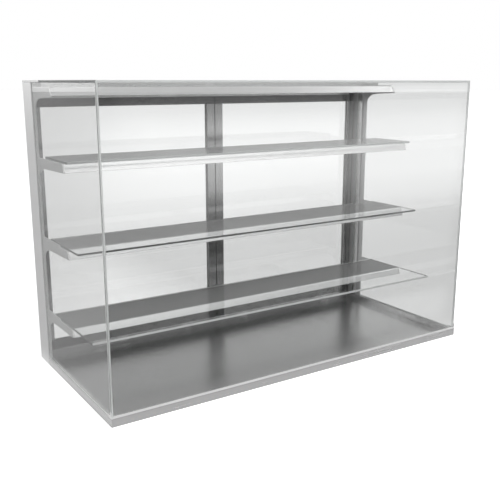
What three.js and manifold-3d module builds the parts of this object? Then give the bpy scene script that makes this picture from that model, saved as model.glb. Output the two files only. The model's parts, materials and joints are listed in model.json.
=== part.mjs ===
// Square glass bakery display case: a stainless base pan and rear frame, glass on the
// front, both sides and the top, a canopy light and three lit shelves on cantilever
// brackets, and two hinged glass doors at the back.
// Millimetres, +X to the right, +Y to the rear, +Z up. Every piece is placed from the
// case's front face at y = 0, and the group then puts the middle of the base at the origin.
import * as THREE from 'three';
import { mergeVertices } from 'three/addons/utils/BufferGeometryUtils.js';
import Module from 'manifold-3d';

const wasm = await Module();
wasm.setup();

// Overall size
const caseWidth = 1200;
const caseDepth = 548;
const caseHeight = 816;

// Stock, and the gap that is left where one piece seats on another
const paneThick = 6;
const shelfPaneThick = 6;
const doorPaneThick = 5;
const sheet = 1.5;
const seatGap = 0.3;

// How far a cutting tool runs past the face that it opens, and how round things are drawn
const overrun = 5;
const arcSteps = 6;
const roundSteps = 24;

// Base pan, the deck plate lying in it, and what the outer glass stands in
const rimHeight = 22;
const rimWidth = 16;
const sillDepth = 28;
const panFloor = 2;
const deckThick = 2;
const deckGap = 1;
const trimHeight = 6;
const sealHeight = 2;
const clipThick = 1.2;
const clipLength = 24;
const clipTabHeight = 16;

// Rear frame
const postWidth = 12;
const postDepth = 76;
const capDepth = 148;
const apronDrop = 17.7;
const railHeight = 35;
const railSetback = 5;

// Doors and their pivots
const doorThick = 18;
const doorSetback = 10;
const stileWidth = 28;
const doorSideGap = 2;
const doorMeetGap = 2;
const glassBite = 6;
const stopGap = 0.5;
const stopOverlap = 5;
const pivotInset = 9;
const pivotFromRear = 5;
const pivotPlateThick = 3;
const pivotPlateLength = 46;
const pivotPlateGap = 1;
const pinRadius = 3;
const pinLength = 12;
const catchLength = 60;
const catchDepth = 12;

// Countersunk screws in the pivot plates, low-headed ones in the pulls
const pivotScrewSpacing = 16;
const screwHeadRadius = 3.2;
const screwHeadDepth = 1.8;
const screwShankRadius = 1.5;
const screwLength = 9;
const pullScrewHeadHeight = 1.6;
const pullScrewInset = 14;

// Door pulls: a folded channel on each meeting stile
const pullLength = 96;
const pullWidth = 22;
const pullStandoff = 8.5;
const pullLipWidth = 13;
const pullEdgeInset = 2;
const pullLevelShare = 0.47;

// Shelves and canopy: a folded channel with a leaning front, carried on bracket arms
const shelfStandoff = 49;
const shelfDepth = 144;
const shelfLean = 9;
const canopyDepth = 71;
const canopyFront = 24;
const canopyLean = 18;
const canopyEndNotch = 9;
const noseRadius = 5;
const channelLip = 14;
const channelRearDrop = 18;

// Where each shelf's flat top is in the height between deck and canopy
const bottomLevelShare = 0.2156;
const middleLevelShare = 0.4948;
const topLevelShare = 0.7883;

// The height of each shelf's front, how far its glass reaches past it, and how far the
// arm's raised rear part runs; the top shelf's arms have none
const bottomFront = 20;
const middleFront = 23;
const topFront = 24;
const bottomOverhang = 140;
const middleOverhang = 69;
const topOverhang = 26;
const bottomStopReach = 98;
const middleStopReach = 133;
const shelves = [
  {
    name: 'bottom_shelf', level: bottomLevelShare,
    front: bottomFront, overhang: bottomOverhang, stopReach: bottomStopReach,
  },
  {
    name: 'middle_shelf', level: middleLevelShare,
    front: middleFront, overhang: middleOverhang, stopReach: middleStopReach,
  },
  {
    name: 'top_shelf', level: topLevelShare,
    front: topFront, overhang: topOverhang, stopReach: 0,
  },
];

// Bracket plates
const bracketThick = 3;
const bracketStrip = 18;
const armTopDrop = 1;
const armStopRise = 5;
const armDeepening = 4;
const armTipRadius = 2;
const armStopRadius = 3;
const canopyArmRise = 1;
const filletDepth = 52;
const filletDrop = 29;

// Light bars, their driver and the strip that covers its wires
const lightWidth = 14;
const lightHeight = 7;
const lightFromNose = 16;
const lightEndGap = 30;
const driverLength = 180;
const driverHeight = 18;
const driverFromCentre = 200;
const driverGap = 1;
const coverWidth = 24;
const coverThick = 2;
const coverInset = 1;

// Power inlet and light switch in the rear rail
const fittingWall = 1.5;
const flangeThick = 1.5;
const flangeRim = 2;
const inletWidth = 26;
const inletHeight = 18;
const inletDepth = 15;
const inletFromPost = 90;
const bladeThick = 2;
const bladeHeight = 4;
const bladeSpacing = 7;
const bladeDrop = 4;
const bladeShortfall = 2;
const switchWidth = 22;
const switchHeight = 20;
const switchDepth = 14;
const switchFromPost = 150;
const rockerGap = 0.5;
const rockerProud = 0.3;
const rockerFace = 4;
const rockerBack = 4;
const rockerBackShare = 0.6;
const rockerTilt = THREE.MathUtils.degToRad(7);
const axleRadius = 1;
const axleShortfall = 0.2;

// Places that several pieces share
const halfWidth = caseWidth / 2;
const glassOuterX = halfWidth - clipThick - seatGap;
const glassInnerX = glassOuterX - paneThick;
const postInnerX = halfWidth - postWidth;
const postFrontY = caseDepth - postDepth;
const capFrontY = caseDepth - capDepth;
const capFoldZ = caseHeight - paneThick;
const frontGlassY = sheet + seatGap;
const frontGlassBackY = frontGlassY + paneThick;
const deckTopZ = panFloor + deckThick;
const bracketOuterX = glassInnerX - seatGap;
const bracketInnerX = bracketOuterX - bracketThick;
const channelHalfLength = bracketInnerX - seatGap;
const stripFrontY = postFrontY - bracketStrip;
const shelfRearY = stripFrontY - shelfStandoff;
const shelfNoseY = shelfRearY - shelfDepth;
const apronBottomZ = caseHeight - apronDrop;
const canopyTopZ = apronBottomZ - seatGap;
const canopyBottomZ = canopyTopZ - canopyFront;
const canopyNoseY = shelfRearY - canopyDepth;
const doorRearY = caseDepth - doorSetback;
const doorFrontY = doorRearY - doorThick;
const doorMiddleY = (doorFrontY + doorRearY) / 2;
const doorOuterX = postInnerX - doorSideGap;
const doorInnerX = doorMeetGap / 2;
const doorEndGap = pivotPlateThick + pivotPlateGap;
const railBottomZ = capFoldZ - railHeight;
const railTopZ = caseHeight - sheet - seatGap;
const railMiddleZ = (railBottomZ + railTopZ) / 2;
const railRearY = caseDepth - railSetback;
const railFrontY = doorFrontY - stopGap;
const doorBottomZ = rimHeight + doorEndGap;
const doorTopZ = railBottomZ - doorEndGap;
const pivotX = doorOuterX - pivotInset;
const pivotY = doorRearY - pivotFromRear;
const inletX = postInnerX - inletFromPost;
const switchX = postInnerX - switchFromPost;

// Finishes
const stainless = { color: 0xc4c4c2, roughness: 0.34, metalness: 1 };
const brightSteel = { color: 0xe2e2e0, roughness: 0.2, metalness: 1 };
const aluminium = { color: 0xa9abac, roughness: 0.4, metalness: 1 };
const clearGlass = { color: 0xe6efec, roughness: 0.04, metalness: 0 };
const seal = { color: 0xd8dada, roughness: 0.6, metalness: 0 };
const diffuser = { color: 0xf4f4f0, roughness: 0.5, metalness: 0 };
const driverCase = { color: 0xd6d6d4, roughness: 0.55, metalness: 0 };
const blackPlastic = { color: 0x1d1d1e, roughness: 0.5, metalness: 0 };
const platedBrass = { color: 0xcfc9b4, roughness: 0.3, metalness: 1 };

const showcase = new THREE.Group();
showcase.position.y = -caseDepth / 2;

function place(name, geometry, finish) {
  const mesh = new THREE.Mesh(geometry, new THREE.MeshStandardMaterial(finish));
  mesh.name = name;
  showcase.add(mesh);
  return mesh;
}

// Outlines, as lists of points in a plane

function rectangle(u0, u1, v0, v1) {
  return [[u0, v0], [u1, v0], [u1, v1], [u0, v1]];
}

function arc(centreU, centreV, radiusU, radiusV, from, to) {
  return Array.from({ length: arcSteps + 1 }, (_, i) => {
    const angle = from + ((to - from) * i) / arcSteps;
    return [centreU + radiusU * Math.cos(angle), centreV + radiusV * Math.sin(angle)];
  });
}

function direction(a, b) {
  const length = Math.hypot(b[0] - a[0], b[1] - a[1]);
  return [(b[0] - a[0]) / length, (b[1] - a[1]) / length];
}

// The arc that rounds the corner at b between the straight lines a-b and b-c
function roundCorner(a, b, c, radius) {
  const back = direction(b, a);
  const ahead = direction(b, c);
  const halfAngle = Math.acos(back[0] * ahead[0] + back[1] * ahead[1]) / 2;
  const reach = radius / Math.tan(halfAngle);
  const inward = direction([0, 0], [back[0] + ahead[0], back[1] + ahead[1]]);
  const toCentre = radius / Math.sin(halfAngle);
  const centre = [b[0] + inward[0] * toCentre, b[1] + inward[1] * toCentre];
  const from = Math.atan2(back[1] * reach - inward[1] * toCentre, back[0] * reach - inward[0] * toCentre);
  const to = Math.atan2(ahead[1] * reach - inward[1] * toCentre, ahead[0] * reach - inward[0] * toCentre);
  const turn = Math.atan2(Math.sin(to - from), Math.cos(to - from));
  return arc(centre[0], centre[1], radius, radius, from, from + turn);
}

// The outline of a bent sheet: one face's line, then the other face on that line's left
function bentSheet(line, thickness) {
  const last = line.length - 1;
  const otherFace = line.map((point, i) => {
    const into = direction(line[Math.max(i - 1, 0)], line[Math.max(i, 1)]);
    const out = direction(line[Math.min(i, last - 1)], line[Math.min(i + 1, last)]);
    const spread = 1 + into[0] * out[0] + into[1] * out[1];
    return [
      point[0] - ((into[1] + out[1]) / spread) * thickness,
      point[1] + ((into[0] + out[0]) / spread) * thickness,
    ];
  });
  return [...line, ...otherFace.reverse()];
}

// Solids drawn out from an outline, square to its plane; a second outline is a hole

function anticlockwise(points) {
  const corners = points.map(([u, v]) => new THREE.Vector2(u, v));
  return THREE.ShapeUtils.isClockWise(corners) ? corners.reverse() : corners;
}

function drawOut(points, hole, from, to, toSpace) {
  const shape = new THREE.Shape(anticlockwise(points));
  if (hole) {
    shape.holes.push(new THREE.Path(anticlockwise(hole)));
  }
  const geometry = new THREE.ExtrudeGeometry(shape, { depth: 1, bevelEnabled: false });
  const position = geometry.attributes.position;
  for (let i = 0; i < position.count; i += 1) {
    const reach = position.getZ(i) > 0 ? to : from;
    position.setXYZ(i, ...toSpace(position.getX(i), position.getY(i), reach));
  }
  geometry.computeVertexNormals();
  return geometry;
}

function alongX(points, x0, x1, hole) {
  return drawOut(points, hole, Math.min(x0, x1), Math.max(x0, x1), (y, z, x) => [x, y, z]);
}

function alongY(points, y0, y1, hole) {
  return drawOut(points, hole, Math.max(y0, y1), Math.min(y0, y1), (x, z, y) => [x, y, z]);
}

function alongZ(points, z0, z1, hole) {
  return drawOut(points, hole, Math.min(z0, z1), Math.max(z0, z1), (x, y, z) => [x, y, z]);
}

function slab(x0, x1, y0, y1, z0, z1) {
  return alongZ(rectangle(x0, x1, y0, y1), z0, z1);
}

// Round pegs; a second radius tapers them

function pegAlongY(x, z, y0, y1, radius) {
  const geometry = new THREE.CylinderGeometry(radius, radius, y1 - y0, roundSteps);
  geometry.translate(x, (y0 + y1) / 2, z);
  return geometry;
}

function pegAlongZ(x, y, z0, z1, radius, radiusAtZ1 = radius) {
  const geometry = new THREE.CylinderGeometry(radiusAtZ1, radius, z1 - z0, roundSteps);
  geometry.rotateX(Math.PI / 2);
  geometry.translate(x, y, (z0 + z1) / 2);
  return geometry;
}

function pegAlongX(halfLength, radius) {
  const geometry = new THREE.CylinderGeometry(radius, radius, 2 * halfLength, roundSteps);
  geometry.rotateZ(Math.PI / 2);
  return geometry;
}

// Cuts and joins

function toSolid(geometry) {
  const bare = geometry.clone();
  bare.deleteAttribute('normal');
  bare.deleteAttribute('uv');
  const merged = mergeVertices(bare);
  return new wasm.Manifold(new wasm.Mesh({
    numProp: 3,
    vertProperties: new Float32Array(merged.attributes.position.array),
    triVerts: new Uint32Array(merged.index.array),
  }));
}

function toGeometry(solid) {
  const mesh = solid.getMesh();
  const indexed = new THREE.BufferGeometry();
  indexed.setAttribute('position', new THREE.BufferAttribute(mesh.vertProperties, 3));
  indexed.setIndex(new THREE.BufferAttribute(mesh.triVerts, 1));
  const geometry = indexed.toNonIndexed();
  geometry.computeVertexNormals();
  return geometry;
}

function cut(geometry, ...tools) {
  return toGeometry(tools.reduce((left, tool) => left.subtract(toSolid(tool)), toSolid(geometry)));
}

function join(geometry, ...others) {
  return toGeometry(others.reduce((whole, other) => whole.add(toSolid(other)), toSolid(geometry)));
}

// Base pan: a folded tray with a hollow rim, notched at the rear for the posts

function panOutline(inset) {
  const outerX = halfWidth - inset;
  const notchX = postInnerX - seatGap - inset;
  const notchY = postFrontY - seatGap - inset;
  const rearY = caseDepth - inset;
  return [
    [-outerX, inset], [outerX, inset], [outerX, notchY], [notchX, notchY],
    [notchX, rearY], [-notchX, rearY], [-notchX, notchY], [-outerX, notchY],
  ];
}

function wellOutline(outset) {
  const x = halfWidth - rimWidth + outset;
  return rectangle(-x, x, rimWidth - outset, caseDepth - sillDepth + outset);
}

function basePan() {
  return cut(
    alongZ(panOutline(0), 0, rimHeight),
    alongZ(wellOutline(0), panFloor, rimHeight + overrun),
    alongZ(panOutline(sheet), -overrun, rimHeight - sheet, wellOutline(sheet)),
    ...pivots.filter((pivot) => pivot.facing > 0).flatMap(screwHoles),
  );
}

// Angle along the front rim, with the front glass standing in it
function frontTrim() {
  const section = [
    [0, rimHeight], [frontGlassBackY, rimHeight], [frontGlassBackY, rimHeight + sheet],
    [sheet, rimHeight + sheet], [sheet, rimHeight + trimHeight], [0, rimHeight + trimHeight],
  ];
  return alongX(section, -glassOuterX, glassOuterX);
}

// Clip round the foot of each front corner, low along the side and higher at the corner
function cornerClip(side) {
  const tabY = frontGlassBackY;
  const outline = [
    [0, rimHeight], [clipLength, rimHeight], [clipLength, rimHeight + trimHeight],
    [tabY, rimHeight + trimHeight], [tabY, rimHeight + clipTabHeight], [0, rimHeight + clipTabHeight],
  ];
  return alongX(outline, side * (halfWidth - clipThick), side * halfWidth);
}

// Outer glass

function sidePane(side, z0, z1) {
  const y0 = frontGlassBackY + seatGap;
  return slab(side * glassInnerX, side * glassOuterX, y0, postFrontY - seatGap, z0, z1);
}

function frontGlass() {
  const z0 = rimHeight + sheet + seatGap;
  return slab(-glassOuterX, glassOuterX, frontGlassY, frontGlassBackY, z0, caseHeight);
}

function topGlass() {
  const y0 = frontGlassBackY + seatGap;
  return slab(-glassOuterX, glassOuterX, y0, capFrontY - seatGap, capFoldZ, caseHeight);
}

// Rear frame: tube posts, a folded cap, and an open rail over the doors

function rearPost(side) {
  const outline = rectangle(side * postInnerX, side * halfWidth, postFrontY, caseDepth);
  const bore = rectangle(
    side * (postInnerX + sheet), side * (halfWidth - sheet),
    postFrontY + sheet, caseDepth - sheet,
  );
  return alongZ(outline, 0, capFoldZ, bore);
}

function topCap() {
  const insideX = halfWidth - sheet;
  const plateZ = caseHeight - sheet;
  const lid = slab(-halfWidth, halfWidth, capFrontY, caseDepth, capFoldZ, caseHeight);
  const hollow = slab(
    -insideX, insideX, capFrontY + sheet, caseDepth - sheet, capFoldZ - overrun, plateZ,
  );
  const apronX = channelHalfLength;
  const apron = slab(-apronX, apronX, capFrontY, capFrontY + sheet, apronBottomZ, plateZ);
  return join(cut(lid, hollow), apron);
}

// The rail's front wall reaches below it as the doors' stop. That lip ends clear of the
// curve that each door's hinge-side corner swings through.
function rearRail() {
  const endX = postInnerX - seatGap;
  const stopZ = doorTopZ - stopOverlap;
  const section = [
    [railFrontY - sheet, stopZ], [railFrontY, stopZ], [railFrontY, railBottomZ],
    [railRearY, railBottomZ], [railRearY, railTopZ], [railRearY - sheet, railTopZ],
    [railRearY - sheet, railBottomZ + sheet], [railFrontY, railBottomZ + sheet],
    [railFrontY, railTopZ], [railFrontY - sheet, railTopZ],
  ];
  const cornerSweep = Math.hypot(pivotInset, doorThick - pivotFromRear);
  const lipEndX = pivotX - cornerSweep - doorSideGap;
  const lipCuts = [-1, 1].map((side) => slab(
    side * lipEndX, side * (halfWidth + overrun),
    railFrontY - sheet - overrun, railFrontY + overrun,
    stopZ - overrun, railBottomZ,
  ));
  const y0 = railRearY - sheet - overrun;
  const y1 = railRearY + overrun;
  const cutouts = [
    fittingBlock(inletX, inletWidth + 2 * seatGap, inletHeight + 2 * seatGap, y0, y1),
    fittingBlock(switchX, switchWidth + 2 * seatGap, switchHeight + 2 * seatGap, y0, y1),
  ];
  const holes = pivots.filter((pivot) => pivot.facing < 0).flatMap(screwHoles);
  return cut(alongX(section, -endX, endX), ...lipCuts, ...cutouts, ...holes);
}

// Bracket plates: a strip against the post, with an arm for each shelf and the canopy

function shelfTopZ(shelf) {
  return deckTopZ + shelf.level * (canopyBottomZ - deckTopZ);
}

// An arm's edge, from the fillet on the strip out to the tip and back above it. A stop is
// the raised rear part of the arm, beside the shelf glass.
function armEdge(noseY, lean, topZ, undersideZ, stopReach) {
  const rootZ = undersideZ - armDeepening;
  const fillet = arc(
    stripFrontY - filletDepth, rootZ - filletDrop, filletDepth, filletDrop, 0, Math.PI / 2,
  );
  const low = [noseY - lean, undersideZ];
  const high = [noseY, topZ];
  const stopY = stripFrontY - stopReach;
  const stopFoot = [stopY, topZ];
  const stopHead = [stopY, topZ + armStopRise];
  const rootTop = [stripFrontY, stopReach > 0 ? topZ + armStopRise : topZ];
  const stop = stopReach > 0
    ? [stopFoot, ...roundCorner(stopFoot, stopHead, rootTop, armStopRadius)]
    : [];
  return [
    ...fillet,
    ...roundCorner(fillet.at(-1), low, high, armTipRadius),
    ...roundCorner(low, high, stopFoot, armTipRadius),
    ...stop,
    rootTop,
  ];
}

function shelfBracket(side) {
  const footZ = rimHeight + seatGap;
  const arms = shelves.flatMap((shelf) => {
    const top = shelfTopZ(shelf);
    return armEdge(shelfNoseY, shelfLean, top - armTopDrop, top - shelf.front, shelf.stopReach);
  });
  const canopyArm = armEdge(canopyNoseY, canopyLean, canopyTopZ + canopyArmRise, canopyBottomZ, 0);
  const outline = [
    [postFrontY - seatGap, footZ], [stripFrontY, footZ],
    ...arms,
    ...canopyArm.slice(0, -1),
    [postFrontY - seatGap, canopyTopZ + canopyArmRise],
  ];
  return alongX(outline, side * bracketInnerX, side * bracketOuterX);
}

// Folded channels: down at the rear, flat on top, round at the nose, leaning forward to
// the bottom edge and turned back under

function channelSection(noseY, lean, topZ, front) {
  const lowFront = [noseY - lean, topZ - front];
  const nose = [noseY, topZ];
  const rearTop = [shelfRearY, topZ];
  const line = [
    [shelfRearY, topZ - channelRearDrop],
    rearTop,
    ...roundCorner(rearTop, nose, lowFront, noseRadius),
    lowFront,
    [lowFront[0] + channelLip, lowFront[1]],
  ];
  return bentSheet(line, sheet);
}

function shelfHousing(shelf) {
  const section = channelSection(shelfNoseY, shelfLean, shelfTopZ(shelf), shelf.front);
  return alongX(section, -channelHalfLength, channelHalfLength);
}

// The canopy's front stops short of the brackets; its flat top runs on to them
function canopyHousing() {
  const section = channelSection(canopyNoseY, canopyLean, canopyTopZ, canopyFront);
  const notches = [-1, 1].map((side) => slab(
    side * (channelHalfLength - canopyEndNotch), side * (channelHalfLength + overrun),
    canopyNoseY - canopyLean - overrun, canopyNoseY - canopyLean + channelLip + overrun,
    canopyBottomZ - overrun, canopyTopZ + overrun,
  ));
  return cut(alongX(section, -channelHalfLength, channelHalfLength), ...notches);
}

function lightBar(noseY, topZ) {
  const halfLength = channelHalfLength - lightEndGap;
  const y0 = noseY + lightFromNose;
  const z1 = topZ - sheet - seatGap;
  return slab(-halfLength, halfLength, y0, y0 + lightWidth, z1 - lightHeight, z1);
}

function shelfGlass(shelf) {
  const z0 = shelfTopZ(shelf);
  const x = channelHalfLength;
  return slab(-x, x, shelfNoseY - shelf.overhang, shelfRearY, z0, z0 + shelfPaneThick);
}

// Doors: a grooved frame with the glass trapped in it, turning on pins above and below

function doorOutline(side, inset) {
  return rectangle(
    side * (doorInnerX + inset), side * (doorOuterX - inset),
    doorBottomZ + inset, doorTopZ - inset,
  );
}

function doorFrame(side) {
  const bodies = alongY(doorOutline(side, 0), doorFrontY, doorRearY, doorOutline(side, stileWidth));
  const halfGroove = doorPaneThick / 2 + seatGap;
  const groove = alongY(
    doorOutline(side, stileWidth - glassBite - seatGap),
    doorMiddleY - halfGroove, doorMiddleY + halfGroove,
  );
  const pinHoles = pivots.filter((pivot) => pivot.side === side).map((pivot) => pivotPin(pivot, seatGap));
  const screws = pullScrewLevels.map((z) => pullScrewShank(side, z, seatGap));
  return cut(bodies, groove, ...pinHoles, ...screws);
}

function doorGlass(side) {
  const halfPane = doorPaneThick / 2;
  return alongY(
    doorOutline(side, stileWidth - glassBite), doorMiddleY - halfPane, doorMiddleY + halfPane,
  );
}

// Each pivot is a screwed plate with a pin; the lower ones face up and the upper ones down.
// Heights along a pivot are counted from the face that its plate is screwed to.

const pivots = [-1, 1].flatMap((side) => [
  { side, facing: 1, seatZ: rimHeight },
  { side, facing: -1, seatZ: railBottomZ },
]);

function fromSeat(pivot, height) {
  return pivot.seatZ + pivot.facing * height;
}

function pegFromSeat(pivot, x, y, low, high, radius, radiusAtHigh = radius) {
  const lowZ = fromSeat(pivot, low);
  const highZ = fromSeat(pivot, high);
  return pivot.facing > 0
    ? pegAlongZ(pivot.side * x, y, lowZ, highZ, radius, radiusAtHigh)
    : pegAlongZ(pivot.side * x, y, highZ, lowZ, radiusAtHigh, radius);
}

function pivotPin(pivot, clearance) {
  const tip = pivotPlateThick + pinLength + clearance;
  return pegFromSeat(pivot, pivotX, pivotY, pivotPlateThick / 2, tip, pinRadius + clearance);
}

function pivotPlate(pivot) {
  const plate = slab(
    pivot.side * doorOuterX, pivot.side * (doorOuterX - pivotPlateLength),
    doorFrontY, doorRearY, pivot.seatZ, fromSeat(pivot, pivotPlateThick),
  );
  return cut(join(plate, pivotPin(pivot, 0)), ...screwHoles(pivot));
}

const pivotScrewXs = [pivotX - pivotScrewSpacing, pivotX - 2 * pivotScrewSpacing];

function pivotScrew(pivot, x) {
  const head = pivotPlateThick;
  const neck = head - screwHeadDepth;
  const shankTop = head - screwHeadDepth / 2;
  return join(
    pegFromSeat(pivot, x, doorMiddleY, neck, head, screwShankRadius, screwHeadRadius),
    pegFromSeat(pivot, x, doorMiddleY, head - screwLength, shankTop, screwShankRadius),
  );
}

function screwHoles(pivot) {
  const head = pivotPlateThick;
  const neck = head - screwHeadDepth;
  const shank = screwShankRadius + seatGap;
  const widest = screwHeadRadius + seatGap;
  return pivotScrewXs.flatMap((x) => [
    pegFromSeat(pivot, x, doorMiddleY, neck, head, shank, widest),
    pegFromSeat(pivot, x, doorMiddleY, head, head + overrun, widest),
    pegFromSeat(pivot, x, doorMiddleY, head - screwLength - seatGap, head, shank),
  ]);
}

function magneticCatch() {
  const halfLength = catchLength / 2;
  const halfDepth = catchDepth / 2;
  return slab(
    -halfLength, halfLength, doorMiddleY - halfDepth, doorMiddleY + halfDepth,
    doorTopZ + seatGap, railBottomZ,
  );
}

// Door pulls: a plate on the stile, a leg at the meeting edge and a lip to hook fingers behind

const pullMiddleZ = doorBottomZ + pullLevelShare * (doorTopZ - doorBottomZ);
const pullBottomZ = pullMiddleZ - pullLength / 2;
const pullTopZ = pullMiddleZ + pullLength / 2;
const pullScrewLevels = [pullBottomZ + pullScrewInset, pullTopZ - pullScrewInset];
const pullInnerX = doorInnerX + pullEdgeInset;
const pullScrewX = pullInnerX + pullWidth / 2 + sheet;

function doorPull(side) {
  const lipY = doorRearY + pullStandoff;
  const line = [
    [pullInnerX + pullWidth, doorRearY + sheet],
    [pullInnerX + sheet, doorRearY + sheet],
    [pullInnerX + sheet, lipY - sheet],
    [pullInnerX + pullLipWidth, lipY - sheet],
  ];
  const section = bentSheet(line, sheet).map(([x, y]) => [side * x, y]);
  const holes = pullScrewLevels.map((z) => pullScrewShank(side, z, seatGap));
  return cut(alongZ(section, pullBottomZ, pullTopZ), ...holes);
}

function pullScrewShank(side, z, clearance) {
  const headY = doorRearY + sheet + seatGap;
  const tipY = headY - screwLength - clearance;
  return pegAlongY(side * pullScrewX, z, tipY, headY + clearance, screwShankRadius + clearance);
}

function pullScrew(side, z) {
  const headY = doorRearY + sheet + seatGap;
  return join(
    pegAlongY(side * pullScrewX, z, headY, headY + pullScrewHeadHeight, screwHeadRadius),
    pullScrewShank(side, z, 0),
  );
}

// Driver, wire cover, inlet and switch

function ledDriver() {
  const x0 = -driverFromCentre - driverLength / 2;
  const z0 = railBottomZ + sheet;
  const y0 = railFrontY + driverGap;
  const y1 = railRearY - sheet - driverGap;
  return slab(x0, x0 + driverLength, y0, y1, z0, z0 + driverHeight);
}

function wiringCover() {
  const x1 = postInnerX - seatGap;
  const y0 = postFrontY + coverInset;
  return slab(x1 - coverThick, x1, y0, y0 + coverWidth, rimHeight + seatGap, capFoldZ - seatGap);
}

function fittingBlock(x, width, height, y0, y1) {
  const outline = rectangle(
    x - width / 2, x + width / 2, railMiddleZ - height / 2, railMiddleZ + height / 2,
  );
  return alongY(outline, y0, y1);
}

// An open box through the rail's rear wall, with a flange outside it
function fittingShell(x, width, height, depth, ...holes) {
  const flangeY = railRearY + flangeThick;
  const backY = railRearY - depth;
  const body = fittingBlock(x, width, height, backY, railRearY + flangeThick / 2);
  const rims = 2 * flangeRim;
  const flange = fittingBlock(x, width + rims, height + rims, railRearY, flangeY);
  const walls = 2 * fittingWall;
  const cavity = fittingBlock(x, width - walls, height - walls, backY + fittingWall, flangeY + overrun);
  return cut(join(body, flange), cavity, ...holes);
}

const inletBlades = [
  { name: 'inlet_left_blade', x: inletX - bladeSpacing, z: railMiddleZ },
  { name: 'inlet_right_blade', x: inletX + bladeSpacing, z: railMiddleZ },
  { name: 'inlet_earth_blade', x: inletX, z: railMiddleZ - bladeDrop },
];

function inletBlade(blade, clearance) {
  const halfThick = bladeThick / 2 + clearance;
  const halfHeight = bladeHeight / 2 + clearance;
  const backY = railRearY - inletDepth;
  return slab(
    blade.x - halfThick, blade.x + halfThick,
    backY - clearance, railRearY - bladeShortfall + clearance,
    blade.z - halfHeight, blade.z + halfHeight,
  );
}

function powerInlet() {
  const slots = inletBlades.map((blade) => inletBlade(blade, seatGap));
  return fittingShell(inletX, inletWidth, inletHeight, inletDepth, ...slots);
}

const rockerY = railRearY + flangeThick + rockerProud - rockerFace * Math.cos(rockerTilt);

function switchBezel() {
  const axleHole = pegAlongX(switchWidth / 2 + overrun, axleRadius + seatGap);
  axleHole.translate(switchX, rockerY, railMiddleZ);
  return fittingShell(switchX, switchWidth, switchHeight, switchDepth, axleHole);
}

// The rocker's face is a shallow V, so that each half is flush when it is pressed in
function switchRocker() {
  const halfWide = switchWidth / 2 - fittingWall - rockerGap;
  const room = switchHeight / 2 - fittingWall - rockerGap - rockerFace * Math.sin(rockerTilt);
  const halfHigh = room * Math.cos(rockerTilt);
  const tipFace = rockerFace + halfHigh * Math.tan(rockerTilt);
  const backHigh = rockerBackShare * halfHigh;
  const outline = [
    [-rockerBack, -backHigh], [tipFace, -halfHigh], [rockerFace, 0],
    [tipFace, halfHigh], [-rockerBack, backHigh],
  ];
  return join(
    alongX(outline, -halfWide, halfWide),
    pegAlongX(switchWidth / 2 - axleShortfall, axleRadius),
  );
}

// The whole case

place('base_pan', basePan(), stainless);
place('deck_plate', alongZ(wellOutline(-deckGap), panFloor, deckTopZ), stainless);
place('front_trim', frontTrim(), brightSteel);
place('front_glass', frontGlass(), clearGlass);
place('top_glass', topGlass(), clearGlass);
place('top_cap', topCap(), stainless);
place('rear_rail', rearRail(), stainless);

for (const [name, side] of [['left', -1], ['right', 1]]) {
  place(`${name}_corner_clip`, cornerClip(side), brightSteel);
  place(`${name}_glass_seal`, sidePane(side, rimHeight, rimHeight + sealHeight), seal);
  place(`${name}_side_glass`, sidePane(side, rimHeight + sealHeight, capFoldZ - seatGap), clearGlass);
  place(`${name}_rear_post`, rearPost(side), stainless);
  place(`${name}_shelf_bracket`, shelfBracket(side), stainless);
  place(`${name}_door_frame`, doorFrame(side), aluminium);
  place(`${name}_door_glass`, doorGlass(side), clearGlass);
  place(`${name}_door_pull`, doorPull(side), stainless);
  pullScrewLevels.forEach((z, i) => {
    place(`${name}_pull_${['lower', 'upper'][i]}_screw`, pullScrew(side, z), stainless);
  });
}

for (const pivot of pivots) {
  const name = `${pivot.side < 0 ? 'left' : 'right'}_${pivot.facing > 0 ? 'lower' : 'upper'}`;
  place(`${name}_pivot`, pivotPlate(pivot), stainless);
  pivotScrewXs.forEach((x, i) => {
    place(`${name}_pivot_screw_${i + 1}`, pivotScrew(pivot, x), stainless);
  });
}

place('canopy_housing', canopyHousing(), stainless);
place('canopy_light', lightBar(canopyNoseY, canopyTopZ), diffuser);
for (const shelf of shelves) {
  place(`${shelf.name}_housing`, shelfHousing(shelf), stainless);
  place(`${shelf.name}_light`, lightBar(shelfNoseY, shelfTopZ(shelf)), diffuser);
  place(`${shelf.name}_glass`, shelfGlass(shelf), clearGlass);
}

place('door_catch', magneticCatch(), blackPlastic);
place('led_driver', ledDriver(), driverCase);
place('wiring_cover', wiringCover(), stainless);
place('power_inlet', powerInlet(), blackPlastic);
for (const blade of inletBlades) {
  place(blade.name, inletBlade(blade, 0), platedBrass);
}
place('switch_bezel', switchBezel(), blackPlastic);
const rocker = place('light_switch', switchRocker(), blackPlastic);
rocker.position.set(switchX, rockerY, railMiddleZ);
rocker.rotation.x = -rockerTilt;

export default showcase;
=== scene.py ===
# %% [markdown]
# # A glass bakery display case
# The case is a stainless tray and rear frame with panes on the other sides, a lit canopy,
# three lit shelves, and two hinged glass doors. Its measured solids come in as a fixed
# frame. This lesson dresses them piece by piece: folded sheet gets its bend radii, panes
# get ground edges, doors get butted bars and gaskets, and every finish is mixed from
# nodes. All lengths are in metres.

import json
import math

import bmesh
import bpy
from mathutils import Matrix, Vector


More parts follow.
